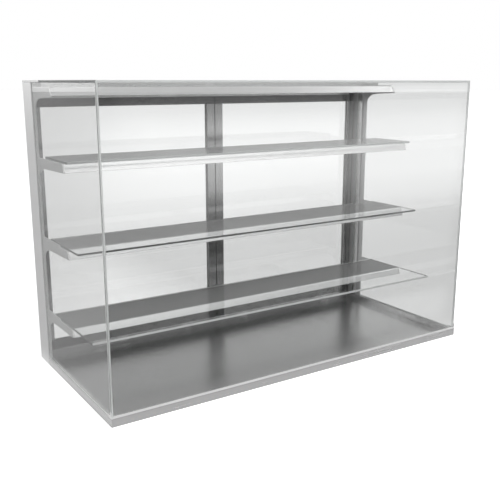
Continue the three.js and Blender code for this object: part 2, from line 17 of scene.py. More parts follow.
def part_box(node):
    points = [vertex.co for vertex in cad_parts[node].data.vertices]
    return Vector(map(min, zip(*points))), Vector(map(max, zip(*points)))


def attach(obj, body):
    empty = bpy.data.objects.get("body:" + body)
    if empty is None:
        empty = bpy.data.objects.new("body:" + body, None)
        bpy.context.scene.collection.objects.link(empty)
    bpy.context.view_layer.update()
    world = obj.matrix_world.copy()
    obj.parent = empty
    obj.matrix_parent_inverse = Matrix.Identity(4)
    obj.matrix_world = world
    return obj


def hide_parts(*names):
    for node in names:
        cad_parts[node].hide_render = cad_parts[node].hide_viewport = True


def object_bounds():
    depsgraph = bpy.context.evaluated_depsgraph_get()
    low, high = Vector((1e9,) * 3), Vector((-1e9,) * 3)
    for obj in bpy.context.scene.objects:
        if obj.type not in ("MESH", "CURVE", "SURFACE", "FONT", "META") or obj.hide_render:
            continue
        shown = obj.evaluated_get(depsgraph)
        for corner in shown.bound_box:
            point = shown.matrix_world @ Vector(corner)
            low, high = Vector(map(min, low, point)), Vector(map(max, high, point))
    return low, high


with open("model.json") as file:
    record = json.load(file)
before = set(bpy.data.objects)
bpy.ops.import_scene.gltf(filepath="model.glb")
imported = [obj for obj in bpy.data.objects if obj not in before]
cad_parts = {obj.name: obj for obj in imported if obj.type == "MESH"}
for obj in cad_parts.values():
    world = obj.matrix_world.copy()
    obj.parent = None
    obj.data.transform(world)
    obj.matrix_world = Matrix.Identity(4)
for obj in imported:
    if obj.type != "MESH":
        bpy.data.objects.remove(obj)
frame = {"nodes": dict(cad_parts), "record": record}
cad_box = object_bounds()
print("solids", len(frame["nodes"]), "from", tuple(cad_box[0]), "to", tuple(cad_box[1]))

# %% [markdown]
# ## The camera
# The picture's camera was worked out from the case's own straight edges: they fix where
# it stood and how long its lens is. The numbers could be eyeballed, but a fitted camera
# makes every piece land on its place in the picture, so shape errors can be told apart
# from camera errors.

# %% Camera
PICTURE_PIXELS = 500
FOCAL_PIXELS = 716.12
SENSOR_MM = 36.0
CAMERA_PLACE = (-1.18585, -1.77970, 0.81338)
CAMERA_DEGREES = (76.7375, -0.024, -33.137)

lens = bpy.data.cameras.new("picture_camera")
lens.sensor_width = SENSOR_MM
lens.lens = FOCAL_PIXELS / PICTURE_PIXELS * SENSOR_MM
camera = bpy.data.objects.new("picture_camera", lens)
camera.location = CAMERA_PLACE
camera.rotation_euler = [math.radians(turn) for turn in CAMERA_DEGREES]
bpy.context.scene.collection.objects.link(camera)
bpy.context.scene.camera = camera
bpy.context.scene.view_settings.view_transform = "Standard"
print("lens", round(lens.lens, 2), "mm")

# %% [markdown]
# ## Writing shader maths as Python
# A node tree can be wired by hand, one link after another, but then nobody can read the
# formula in it. Here a small class wraps a socket, so that `0.3 + 0.1 * grain` adds its
# own Math nodes, also when the number stands first. Colours and vectors have their own
# mix and scale, because a Math node would turn them grey.

# %% A value in a node tree
class Value:
    def __init__(self, finish, socket):
        self.finish = finish
        self.socket = socket

    def maths(self, operation, first, second, clamp=False):
        return self.finish.node(
            "ShaderNodeMath", {"operation": operation, "use_clamp": clamp}, {0: first, 1: second}
        )

    def __add__(self, other):
        return self.maths("ADD", self, other)

    def __radd__(self, other):
        return self.maths("ADD", other, self)

    def __sub__(self, other):
        return self.maths("SUBTRACT", self, other)

    def __rsub__(self, other):
        return self.maths("SUBTRACT", other, self)

    def __mul__(self, other):
        return self.maths("MULTIPLY", self, other)

    def __rmul__(self, other):
        return self.maths("MULTIPLY", other, self)

    def __truediv__(self, other):
        return self.maths("DIVIDE", self, other)

    def clamped(self):
        return self.maths("ADD", self, 0.0, clamp=True)


# %% A finish: one material, and one method that adds any node
NOISE_ROUGHNESS = 0.55


class Finish:
    def __init__(self, name, block=None):
        self.block = block or bpy.data.materials.new(name)
        self.block.use_nodes = True
        self.tree = self.block.node_tree
        self.tree.nodes.clear()

    def node(self, kind, settings=None, sockets=None, out=0):
        """Adds any node: its settings first, then the values or links of its sockets.

        It gives back the socket named by out, or nothing where out is None.
        """
        made = self.tree.nodes.new(kind)
        for name, value in (settings or {}).items():
            setattr(made, name, value)
        for key, value in (sockets or {}).items():
            if isinstance(value, Value):
                self.tree.links.new(value.socket, made.inputs[key])
            else:
                made.inputs[key].default_value = value
        return None if out is None else Value(self, made.outputs[out])

    def place(self):
        """Where a point is in the case's own frame, in metres."""
        return self.node("ShaderNodeTexCoord", out="Object")

    def part(self, vector, axis):
        """One of the three parts of a vector."""
        return self.node("ShaderNodeSeparateXYZ", None, {0: vector}, out=axis)

    def stretched(self, vector, by):
        return self.node(
            "ShaderNodeVectorMath", {"operation": "MULTIPLY"}, {0: vector, 1: by}
        )

    def noise(self, vector, scale, detail=2.0):
        return self.node(
            "ShaderNodeTexNoise", None,
            {"Vector": vector, "Scale": scale, "Detail": detail, "Roughness": NOISE_ROUGHNESS},
        )

    def blend(self, share, low, high):
        """A colour between low and high."""
        return self.node(
            "ShaderNodeMix", {"data_type": "RGBA"}, {0: share, 6: low, 7: high}, out=2
        )

    def bump(self, height, depth, strength=1.0):
        return self.node(
            "ShaderNodeBump", None, {"Height": height, "Distance": depth, "Strength": strength}
        )

    def surface(self, sockets):
        shader = self.node("ShaderNodeBsdfPrincipled", None, sockets)
        self.node("ShaderNodeOutputMaterial", None, {"Surface": shader}, out=None)
        return self.block


def grey(level):
    return (level, level, level, 1.0)


# %% [markdown]
# ## Brushed stainless
# Sheet for such cases is brushed in one direction, so its grain is a field of very long,
# very thin scratches. Anisotropic shading could fake the stretch of its highlights, but
# it needs a tangent on every face. Noise that is squeezed across the grain gives real
# scratches in colour, roughness and bump, and it follows the sheet through every bend.
# Satin sheet throws part of its light evenly to all sides, so it is only partly metallic.

# %% Brushed steel, with its grain along one axis
AXES = {"x": 0, "y": 1, "z": 2}
GRAIN_ACROSS = 2000.0
GRAIN_ALONG = 4.0
FINE_SCRATCH = 0.0000004
DEEP_SCRATCH = 0.00008
HANDLING_SCALE = 5.0
GRAIN_TONES = (0.99, 1.01)
GLOSSIEST, SCRATCHES_MATT, HANDLING_MATT = -0.03, 0.02, 0.04
PALEST = 0.97


def squeezed(axis, across, along):
    """How much noise is squeezed on each axis, so that it runs along this one."""
    squeeze = [across] * 3
    squeeze[AXES[axis]] = along
    return squeeze


def brushed_steel(name, grain_axis, tone, roughness, metallic=1.0, scratch=FINE_SCRATCH):
    finish = Finish(name)
    place = finish.place()
    grain = finish.stretched(place, squeezed(grain_axis, GRAIN_ACROSS, GRAIN_ALONG))
    scratches = finish.noise(grain, 1.0, detail=3.0)
    handling = finish.noise(place, HANDLING_SCALE)
    low, high = (min(tone * share, PALEST) for share in GRAIN_TONES)
    return finish.surface({
        "Base Color": finish.blend(scratches, grey(low), grey(high)),
        "Metallic": metallic,
        "Roughness": (
            roughness + GLOSSIEST + SCRATCHES_MATT * scratches + HANDLING_MATT * handling
        ),
        "Normal": finish.bump(scratches, scratch),
    })


# Some tones are painted light and shade: the posts, brackets and channels are painted lighter,
# and the deck darker, than the other sheet.
steel_along_x = brushed_steel("brushed_steel_along_x", "x", tone=0.80, roughness=0.27)
steel_upright = brushed_steel("brushed_steel_upright", "z", tone=0.80, roughness=0.27)
post_steel_painted_lighter = brushed_steel("satin_post_steel_painted_lighter", "z", tone=0.90, roughness=0.32, metallic=0.55)
pan_steel = brushed_steel("brushed_pan_steel", "x", tone=0.76, roughness=0.27, metallic=0.72)
deck_steel_painted_darker = brushed_steel(
    "brushed_deck_steel_painted_darker", "x", tone=0.72, roughness=0.26, metallic=0.96, scratch=DEEP_SCRATCH
)
shelf_steel_painted_lighter = brushed_steel(
    "brushed_shelf_steel_painted_lighter", "x", tone=0.93, roughness=0.24, metallic=0.65
)
bracket_steel_painted_lighter = brushed_steel(
    "brushed_bracket_steel_painted_lighter", "z", tone=0.90, roughness=0.32, metallic=0.40
)
STEELS = (
    steel_along_x, steel_upright, post_steel_painted_lighter, pan_steel, deck_steel_painted_darker, shelf_steel_painted_lighter, bracket_steel_painted_lighter
)
print("steels", [steel.name for steel in STEELS])

# %% [markdown]
# ## The other metals
# The trim in front of the glass is bright, and only fine polishing haze varies it. The
# door bars are extruded aluminium, satin anodised: die lines run along each bar and the
# anodised skin has a fine, even tooth. The level bars get a much darker tone than the
# uprights, as painted shade. One shader for all of them would need many switches, so
# there are two short ones, for what is polished and for what is extruded.

# %% Bright trim, anodised bars, plated contacts
FAINT_DEPTH = 0.00001
HAZE_TONES = (0.95, 1.04)
HAZE_MATT = 0.06
HAZE_STRENGTH = 0.2


def polished_metal(name, tone, roughness, haze_scale, tint=(1.0, 1.0, 1.0), metallic=1.0):
    finish = Finish(name)
    haze = finish.noise(finish.place(), haze_scale, detail=4.0)
    low, high = (
        [min(tone * share * part, PALEST) for part in tint] + [1.0] for share in HAZE_TONES
    )
    return finish.surface({
        "Base Color": finish.blend(haze, low, high),
        "Metallic": metallic,
        "Roughness": roughness + HAZE_MATT * haze,
        "Normal": finish.bump(haze, FAINT_DEPTH, HAZE_STRENGTH),
    })


DIE_LINES_ACROSS = 700.0
DIE_LINES_ALONG = 2.0
DIE_LINE_TONES = (0.93, 1.05)
TOOTH_SCALE = 2600.0
TOOTH_HIGH = 0.5
BAR_ROUGHNESS, DIE_LINES_MATT, TOOTH_MATT = 0.12, 0.04, 0.04
BAR_STRENGTH = 0.1


def anodised_bar(name, axis, tone):
    finish = Finish(name)
    place = finish.place()
    drawn = finish.stretched(place, squeezed(axis, DIE_LINES_ACROSS, DIE_LINES_ALONG))
    die_lines = finish.noise(drawn, 1.0, detail=1.0)
    tooth = finish.noise(place, TOOTH_SCALE, detail=1.0)
    low, high = (grey(tone * share) for share in DIE_LINE_TONES)
    return finish.surface({
        "Base Color": finish.blend(die_lines, low, high),
        "Metallic": 1.0,
        "Roughness": BAR_ROUGHNESS + DIE_LINES_MATT * die_lines + TOOTH_MATT * tooth,
        "Normal": finish.bump(tooth * TOOTH_HIGH + die_lines, FAINT_DEPTH, BAR_STRENGTH),
    })


bright_trim = polished_metal(
    "bright_trim", tone=0.96, roughness=0.14, haze_scale=60.0, metallic=0.25
)
screw_steel = polished_metal("screw_steel", tone=0.72, roughness=0.22, haze_scale=400.0)
contact_plate = polished_metal(
    "plated_contact", tone=0.80, roughness=0.22, haze_scale=500.0, tint=(1.0, 0.95, 0.82)
)
bar_upright = anodised_bar("anodised_bar_upright", "z", tone=0.52)
# Painted shade: the level bars are painted much darker than the uprights.
bar_level_painted_shade = anodised_bar("anodised_bar_level_painted_shade", "x", tone=0.22)
METALS = (bright_trim, screw_steel, contact_plate, bar_upright, bar_level_painted_shade)
print("other metals", [metal.name for metal in METALS])

# %% [markdown]
# ## Glass
# Each pane is a closed solid of real thickness, so light bends into it and out again, and
# what stands behind it shifts sideways as it does through a real pane. A flat see-through
# sheet would be quicker, but the pieces behind it would land in the wrong place. Wiping
# leaves faint haze, which only roughens the surface a little. How strongly a pane mirrors
# comes from its IOR: the outer panes mirror the shelves clearly and the shelf panes hardly
# at all, so the two get different values. Edges are finished in three ways: ground ones are
# pale and matt, seamed ones half clear and polished ones clear. The ends of the top pane
# get painted shade instead: a dark colour stands in for light that enters them and is
# caught inside the pane.

# %% Pane faces and pane edges
OUTER_IOR = 1.75
SHELF_IOR = 1.12
WIPED_STRETCH = (1.0, 1.0, 0.4)
WIPED_SCALE = 7.0
WIPED_PALER = 1.01
GROUND_SCALE = 900.0
CLEAR = (0.985, 0.99, 0.988, 1.0)


def glass(name, tint, roughness, haze, haze_scale=GROUND_SCALE, ior=OUTER_IOR, clear=1.0):
    finish = Finish(name)
    wiping = finish.stretched(finish.place(), WIPED_STRETCH)
    wiped = finish.noise(wiping, haze_scale, detail=3.0)
    paler = [min(part * WIPED_PALER, 1.0) for part in tint]
    return finish.surface({
        "Base Color": finish.blend(wiped, tint, paler),
        "Transmission Weight": clear,
        "IOR": ior,
        "Roughness": roughness + haze * wiped,
    })


pane_face = glass("clear_glass", CLEAR, 0.0, 0.012, WIPED_SCALE)
shelf_face = glass("shelf_glass", CLEAR, 0.0, 0.012, WIPED_SCALE, SHELF_IOR)
pane_edge = glass("ground_glass_edge", (0.97, 0.985, 0.98, 1.0), 0.10, 0.05, clear=0.15)
polished_edge = glass("polished_glass_edge", (0.72, 0.75, 0.74, 1.0), 0.04, 0.04)
# Painted shade: a dark colour for light caught inside the ends of the top pane.
painted_shade_edge = glass("painted_shade_glass_edge", (0.13, 0.14, 0.138, 1.0), 0.08, 0.04, clear=0.2)
seamed_edge = glass("seamed_glass_edge", (0.86, 0.89, 0.88, 1.0), 0.08, 0.04, clear=0.60)
GLASSES = (pane_face, shelf_face, pane_edge, polished_edge, painted_shade_edge, seamed_edge)
print("glass", [kind.name for kind in GLASSES])

# %% [markdown]
# ## Plastics and sealant
# Moulded parts have a fine spark-eroded texture, the lamp covers are opal, and the
# bedding under the side panes is a pale silicone. A plain colour would look like paint on
# all of them, so each gets its own cloud of colour, grain and gloss from one helper.

# %% Moulded plastics
CLOUD_TO_GRAIN = 0.02
GRAIN_MATT = 0.1
GRAIN_STRENGTH = 0.6


def moulded(name, dark, pale, roughness, grain_scale, grain_depth, sockets=None):
    finish = Finish(name)
    place = finish.place()
    grain = finish.noise(place, grain_scale)
    cloud = finish.noise(place, grain_scale * CLOUD_TO_GRAIN)
    return finish.surface({
        "Base Color": finish.blend(cloud, dark, pale),
        "Roughness": roughness + GRAIN_MATT * grain,
        "Normal": finish.bump(grain, grain_depth, GRAIN_STRENGTH),
        **(sockets or {}),
    })


black_plastic = moulded(
    "black_moulding", grey(0.018), grey(0.03),
    roughness=0.36, grain_scale=3000.0, grain_depth=0.00004,
)
driver_plastic = moulded(
    "driver_moulding", (0.60, 0.60, 0.58, 1.0), (0.68, 0.68, 0.66, 1.0),
    roughness=0.45, grain_scale=2500.0, grain_depth=0.00003,
)
opal_cover = moulded(
    "opal_lamp_cover", (0.86, 0.86, 0.84, 1.0), (0.90, 0.90, 0.88, 1.0),
    roughness=0.30, grain_scale=1500.0, grain_depth=0.00001,
    sockets={"Subsurface Weight": 0.2, "Subsurface Radius": (0.004, 0.004, 0.004)},
)
sealant = moulded(
    "pane_sealant", (0.74, 0.75, 0.75, 1.0), (0.80, 0.81, 0.81, 1.0),
    roughness=0.42, grain_scale=500.0, grain_depth=0.00008,
)
gasket_rubber = moulded(
    "door_gasket_rubber", grey(0.58), grey(0.63),
    roughness=0.42, grain_scale=2200.0, grain_depth=0.00003,
)
marking_ink = moulded(
    "switch_marking", grey(0.70), grey(0.76),
    roughness=0.4, grain_scale=3000.0, grain_depth=0.00001,
)
MOULDED = (black_plastic, driver_plastic, opal_cover, sealant, gasket_rubber, marking_ink)
print("moulded", [kind.name for kind in MOULDED])

# %% [markdown]
# ## Dressing a solid
# A dressed piece stands in for a measured solid. It takes that solid's place and rides on
# the same moving body. Each of these could be written out for each piece, but one helper
# does both, so that no piece is left behind when a door swings. A small piece that has no
# solid of its own names its body instead.

# %% Put a dressed piece in a solid's place
record = frame["record"]
BODY_OF = {
    node: body for body, nodes in record["behaviour"]["bodies"].items() for node in nodes
}
SLOT_OF = {piece["node"]: piece["material_slot"] for piece in record["subparts"]}
CREASE = math.radians(50)


def stand_in(name, shape, materials, *nodes, body=None, slot=None):
    """Makes an object from a bmesh and puts it in the place of these solids."""
    mesh = bpy.data.meshes.new(name)
    bmesh.ops.recalc_face_normals(shape, faces=shape.faces)
    shape.to_mesh(mesh)
    shape.free()
    for material in materials:
        mesh.materials.append(material)
    mesh.shade_smooth()
    mesh.set_sharp_from_angle(angle=CREASE)
    piece = bpy.data.objects.new(name, mesh)
    bpy.context.scene.collection.objects.link(piece)
    weighted = piece.modifiers.new("even_shading", "WEIGHTED_NORMAL")
    weighted.keep_sharp = True
    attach(piece, body or BODY_OF[nodes[0]])
    if nodes:
        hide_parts(*nodes)
    return piece


print("moving bodies", sorted(set(BODY_OF.values())), "finish slots", len(set(SLOT_OF.values())))

# %% [markdown]
# ## Folded and cut metal
# The solids have knife-sharp edges. Real sheet is bent over a tool, so a fold has a
# radius of about its own thickness, and its cut edges are lightly deburred. Rebuilding
# every piece would risk its sizes, so the solid's own mesh is copied, its flat faces are
# joined up, and then the folds and the cut edges are rounded with two radii.

# %% Round the folds and the cut edges
WELD = 1e-6
LEVEL = 1e-5
FLAT_TURN = math.radians(1)
SHARP_TURN = math.radians(30)
ALONG_AXIS = 0.999
ROUND_PROFILE = 0.5


def rounded(shape, edges, radius, steps):
    """Rounds these edges, or chamfers them where there is one step."""
    if edges:
        bmesh.ops.bevel(
            shape, geom=edges, offset=radius, offset_type="OFFSET", segments=steps,
            profile=ROUND_PROFILE, affect="EDGES", clamp_overlap=True,
        )


def softened_mesh(node, cut_radius, fold_radius=0.0, fold_axis=None, steps=2, hem_radius=0.0):
    shape = bmesh.new()
    shape.from_mesh(frame["nodes"][node].data)
    bmesh.ops.remove_doubles(shape, verts=shape.verts, dist=WELD)
    bmesh.ops.dissolve_limit(
        shape, angle_limit=FLAT_TURN, verts=shape.verts, edges=shape.edges
    )

    def is_sharp(edge):
        return len(edge.link_faces) == 2 and edge.calc_face_angle() > SHARP_TURN

    def follows_fold(edge):
        way = (edge.verts[1].co - edge.verts[0].co).normalized()
        return abs(way[AXES[fold_axis]]) > ALONG_AXIS

    if hem_radius:
        front = min(vert.co.y for vert in shape.verts)
        foot = min(vert.co.z for vert in shape.verts)

        def at_hem(vert):
            return abs(vert.co.y - front) < LEVEL and abs(vert.co.z - foot) < LEVEL

        hem = [edge for edge in shape.edges if all(at_hem(vert) for vert in edge.verts)]
        rounded(shape, hem, hem_radius, steps)
    if fold_axis:
        folds = [edge for edge in shape.edges if is_sharp(edge) and follows_fold(edge)]
        rounded(shape, folds, fold_radius, steps)
    rounded(shape, [edge for edge in shape.edges if is_sharp(edge)], cut_radius, steps)
    return shape


def softened(node, name, material, cut_radius, fold_radius=0.0, fold_axis=None, steps=2):
    shape = softened_mesh(node, cut_radius, fold_radius, fold_axis, steps)
    stand_in(name, shape, [material], node)


# %% [markdown]
# ## The base
# The tray is folded from one sheet, with a hollow rim that the panes stand on, and the
# deck plate lies loose in it. The trim angle and the two corner clips are bright strips.
# Their shapes are already in the solids, so only their edges need a radius.

# %% Tray, deck and trim
SIDES = ("left", "right")
CUT_EDGE = 0.0003
THICK_EDGE = 0.0005
TRAY_FOLD = 0.0007
SEALANT_EDGE = 0.0004
softened("base_pan", "base_pan_tray", pan_steel, TRAY_FOLD)
softened("deck_plate", "deck_sheet", deck_steel_painted_darker, THICK_EDGE)
softened("front_trim", "front_trim_angle", bright_trim, CUT_EDGE)
for side in SIDES:
    softened(f"{side}_corner_clip", f"{side}_corner_clip_strip", bright_trim, CUT_EDGE)
    softened(f"{side}_glass_seal", f"{side}_glass_bedding", sealant, SEALANT_EDGE)

# %% [markdown]
# ## The rear frame
# Two upright tubes carry a folded rail over the doors and the folded cap over the top.
# The tubes are bent from strip, so their corners have the widest radius on the case. The
# grain runs along each piece, the way strip is brushed before it is cut.

# %% Posts, rail, cap and brackets
TUBE_BEND = 0.0012
TUBE_STEPS = 3
for side in SIDES:
    softened(
        f"{side}_rear_post", f"{side}_rear_post_tube", post_steel_painted_lighter,
        CUT_EDGE, TUBE_BEND, "z", TUBE_STEPS,
    )
    softened(f"{side}_shelf_bracket", f"{side}_shelf_bracket_plate", bracket_steel_painted_lighter, CUT_EDGE)
softened("rear_rail", "rear_rail_channel", steel_along_x, CUT_EDGE)
softened("top_cap", "top_cap_strip", steel_along_x, CUT_EDGE)
softened("wiring_cover", "wiring_cover_strip", steel_upright, THICK_EDGE)

# %% [markdown]
# ## Shelf and canopy channels
# Each channel is one folded sheet: down at the rear, flat, round at the nose and turned
# back under. Its round nose is already in the solid, so only the hem at the foot of its
# front needs rounding. The canopy's sloping front ends a little higher than its solid, so
# the points at its foot are slid up the slope.

# %% Channels
CHANNELS = ("canopy", "top_shelf", "middle_shelf", "bottom_shelf")
CHANNEL_EDGE = 0.0002
HEM_RADIUS = 0.0008
HEM_HEIGHT = 0.0016
CANOPY_LEANS, CANOPY_HIGH = 0.018, 0.024
CANOPY_SLOPE = CANOPY_LEANS / CANOPY_HIGH
CANOPY_SHORTER = 0.003
for channel in CHANNELS:
    shape = softened_mesh(f"{channel}_housing", CHANNEL_EDGE, hem_radius=HEM_RADIUS)
    if channel == "canopy":
        foot = min(vert.co.z for vert in shape.verts)
        for vert in shape.verts:
            if vert.co.z < foot + HEM_HEIGHT:
                vert.co += Vector((0.0, CANOPY_SHORTER * CANOPY_SLOPE, CANOPY_SHORTER))
    stand_in(f"{channel}_channel", shape, [shelf_steel_painted_lighter], f"{channel}_housing")
print("channels", len(CHANNELS))

# %% [markdown]
# ## The canopy's end tabs
# The canopy's front is notched at both ends, and a folded tab just behind each notch
# closes it up to the bracket. The tab could be cut from a cube, but its section leans with
# the canopy, so an outline in (y, z) is drawn out along the case. The same prism serves
# the light bars, and the door bars too, whose outline lies in (x, z).

# %% Prisms and end tabs
def prism(shape, near, far, material_index=0):
    """Closes a solid between two outlines of the same number of points."""
    near = [shape.verts.new(point) for point in near]
    far = [shape.verts.new(point) for point in far]
    faces = [shape.faces.new(near), shape.faces.new(list(reversed(far)))]
    for i in range(len(near)):
        j = (i + 1) % len(near)
        faces.append(shape.faces.new((near[i], far[i], far[j], near[j])))
    for face in faces:
        face.material_index = material_index


def drawn_along_x(shape, outline, x0, x1, material_index=0):
    near, far = ([(x, y, z) for y, z in outline] for x in (x0, x1))
    prism(shape, near, far, material_index)


TAB_LONG = 0.0098
TAB_SHEET = 0.001
TAB_BEHIND_FRONT = 0.0011
TAB_ABOVE_FOOT = 0.0002
TAB_BELOW_HEAD = 0.0022
TAB_CLEAR_OF_END = 0.0001


def canopy_end_tab(side, sign):
    """The folded tab behind the notch, which closes the canopy up to its bracket."""
    low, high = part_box("canopy_housing")
    foot, head = low.z + CANOPY_SHORTER + TAB_ABOVE_FOOT, high.z - TAB_BELOW_HEAD
    foot_y, head_y = (
        low.y + TAB_BEHIND_FRONT + (z - low.z) * CANOPY_SLOPE for z in (foot, head)
    )
    outline = [
        (foot_y, foot), (foot_y + TAB_SHEET, foot), (head_y + TAB_SHEET, head), (head_y, head)
    ]
    outer = sign * (high.x - TAB_CLEAR_OF_END)
    shape = bmesh.new()
    drawn_along_x(shape, outline, outer - sign * TAB_LONG, outer)
    stand_in(
        f"{side}_canopy_end_tab", shape, [shelf_steel_painted_lighter],
        body=BODY_OF["canopy_housing"], slot=SLOT_OF["canopy_housing"],
    )


canopy_end_tab("left", -1)
canopy_end_tab("right", 1)
print("end tabs", TAB_LONG, "long")

# %% [markdown]
# ## Panes
# A pane is a slab whose edges are arrised: a narrow chamfer along every edge, ground so
# that nobody is cut. The two faces, the long edges and the two ends are three finishes,
# and each face gets its own from the way that it looks. A clear pane hardly dims the light
# that falls through it, but the renderer would give it the shadow of a solid slab, so the
# panes cast none.

# %% Panes
ARRIS = 0.0007
SQUARE_ON = 0.99
SIDEWAYS = 0.5


def box_into(shape, low, high):
    made = bmesh.ops.create_cube(shape, size=1.0)["verts"]
    middle = Matrix.Translation((Vector(low) + Vector(high)) / 2)
    size = Vector(high) - Vector(low)
    bmesh.ops.transform(shape, matrix=middle @ Matrix.Diagonal((*size, 1.0)), verts=made)


def pane(node, name, face_finish, long_edge, end_edge):
    low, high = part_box(node)
    size = high - low
    thin = min(range(3), key=lambda axis: size[axis])
    shape = bmesh.new()
    box_into(shape, low, high)
    rounded(shape, list(shape.edges), ARRIS, 1)
    shape.normal_update()
    for face in shape.faces:
        if abs(face.normal[thin]) > SQUARE_ON:
            face.material_index = 0
        elif thin != AXES["x"] and abs(face.normal.x) > SIDEWAYS:
            face.material_index = 2
        else:
            face.material_index = 1
    piece = stand_in(name, shape, [face_finish, long_edge, end_edge], node)
    piece.visible_shadow = False


PANES = {
    "front_glass": "front_pane", "top_glass": "top_pane",
    "left_side_glass": "left_side_pane", "right_side_glass": "right_side_pane",
    "left_door_glass": "left_door_pane", "right_door_glass": "right_door_pane",
    "top_shelf_glass": "top_shelf_pane", "middle_shelf_glass": "middle_shelf_pane",
    "bottom_shelf_glass": "bottom_shelf_pane",
}
LONG_AND_END_EDGES = {
    "front_glass": (pane_edge, seamed_edge),
    # The top pane's ends take the painted shade edge.
    "top_glass": (pane_edge, painted_shade_edge),
    "top_shelf_glass": (seamed_edge, polished_edge),
    "middle_shelf_glass": (polished_edge, polished_edge),
    "bottom_shelf_glass": (pane_edge, polished_edge),
}
for node, name in PANES.items():
    face_finish = shelf_face if "shelf" in node else pane_face
    pane(node, name, face_finish, *LONG_AND_END_EDGES.get(node, (pane_edge, pane_edge)))
print("panes", len(PANES))

# %% [markdown]
# ## Light bars
# A bar is a shallow aluminium tray with an opal cover clipped over it and a moulded cap
# at each end. The cover bulges a little below the tray, so its section is a flattened
# arc. An outline is drawn out along the bar for each of them, inside the solid's own box.

# %% Light bars
CAP_LENGTH = 0.006
CAP_CHAMFER = 0.0015
TRAY_HIGH = 0.004
COVER_INSET = 0.0008
COVER_GAP = 0.0001
COVER_STEPS = 10
COVER_FLATNESS = 0.6


def light_bar(channel):
    low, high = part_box(f"{channel}_light")
    middle_y = (low.y + high.y) / 2
    half = (high.y - low.y) / 2
    seam_z = high.z - TRAY_HIGH
    tray = [
        (middle_y - half, seam_z), (middle_y + half, seam_z),
        (middle_y + half, high.z), (middle_y - half, high.z),
    ]
    drop = seam_z - low.z - COVER_GAP
    bulge = []
    for step in range(COVER_STEPS + 1):
        turn = math.pi * step / COVER_STEPS
        bulge.append((
            middle_y - (half - COVER_INSET) * math.cos(turn),
            seam_z - COVER_GAP - drop * math.sin(turn) ** COVER_FLATNESS,
        ))
    cap = [
        (middle_y - half, low.z + CAP_CHAMFER), (middle_y - half + CAP_CHAMFER, low.z),
        (middle_y + half - CAP_CHAMFER, low.z), (middle_y + half, low.z + CAP_CHAMFER),
        (middle_y + half, high.z), (middle_y - half, high.z),
    ]
    shape = bmesh.new()
    drawn_along_x(shape, tray, low.x + CAP_LENGTH, high.x - CAP_LENGTH, 0)
    drawn_along_x(shape, bulge, low.x + CAP_LENGTH, high.x - CAP_LENGTH, 1)
    drawn_along_x(shape, cap, low.x, low.x + CAP_LENGTH, 2)
    drawn_along_x(shape, cap, high.x - CAP_LENGTH, high.x, 2)
    # The tray takes the level bars' finish, with its painted shade.
    stand_in(
        f"{channel}_light_bar", shape, [bar_level_painted_shade, opal_cover, driver_plastic], f"{channel}_light"
    )


for channel in CHANNELS:
    light_bar(channel)
print("light bars", len(CHANNELS))

# %% [markdown]
# ## Doors
# A door is four lengths of extruded bar around a pane in a pale gasket. The level bars run
# right across and the uprights stand between them. One cut-out slab would have no joints,
# so each bar is made on its own, and a small chamfer leaves the fine line that shows
# where two real bars meet. The grain of each bar runs along its own length.

# %% Door frames and gaskets
STILE = 0.028
BAR_ARRIS = 0.0006
GASKET_WIDE = 0.0015
GASKET_PROUD = 0.0012
GASKET_GAP = 0.0002
GASKET_EDGE = 0.0004
PULL_BEND = 0.001


def butted_frame(shape, low, high, width, y0, y1, level_index=0, upright_index=0):
    """Two level bars across the whole width, with two upright bars between them."""
    bars = (
        (low.x, high.x, low.z, low.z + width, level_index),
        (low.x, high.x, high.z - width, high.z, level_index),
        (low.x, low.x + width, low.z + width, high.z - width, upright_index),
        (high.x - width, high.x, low.z + width, high.z - width, upright_index),
    )
    for x0, x1, z0, z1, material_index in bars:
        outline = [(x0, z0), (x1, z0), (x1, z1), (x0, z1)]
        near, far = ([(x, y, z) for x, z in outline] for y in (y0, y1))
        prism(shape, near, far, material_index)


def door_frame(side):
    low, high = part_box(f"{side}_door_frame")
    shape = bmesh.new()
    butted_frame(shape, low, high, STILE, low.y, high.y, level_index=0, upright_index=1)
    rounded(shape, list(shape.edges), BAR_ARRIS, 2)
    # The level bars take the finish with painted shade.
    stand_in(f"{side}_door_bars", shape, [bar_level_painted_shade, bar_upright], f"{side}_door_frame")


def door_gaskets(side):
    low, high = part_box(f"{side}_door_frame")
    glass_low, glass_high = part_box(f"{side}_door_glass")
    inset = Vector((STILE, 0.0, STILE))
    shape = bmesh.new()
    for y0, y1 in (
        (glass_low.y - GASKET_PROUD, glass_low.y - GASKET_GAP),
        (glass_high.y + GASKET_GAP, glass_high.y + GASKET_PROUD),
    ):
        butted_frame(shape, low + inset, high - inset, GASKET_WIDE, y0, y1)
    rounded(shape, list(shape.edges), GASKET_EDGE, 1)
    stand_in(
        f"{side}_door_gaskets", shape, [gasket_rubber], body=f"{side}_door", slot="glazing_seal"
    )


for side in SIDES:
    door_frame(side)
    door_gaskets(side)
    softened(
        f"{side}_door_pull", f"{side}_door_pull_channel", steel_upright,
        CUT_EDGE, PULL_BEND, "z",
    )
print("doors", len(SIDES), "with bars", STILE, "wide")

# %% [markdown]
# ## Screws
# Each screw head has a cross recess, which only shows close up, but without it a head is
# a plain disc. The head is turned as a low dome and the cross is cut by a Boolean with
# two crossed slabs. All screws of a kind share that mesh, moved to each solid's place.

# %% Screw heads with a cross recess
HEAD_STEPS = 32
RECESS_DEPTH = 0.0010
RECESS_ARM = 0.0016
RECESS_HALF = 0.2 * RECESS_ARM
ABOVE_HEAD = 0.001


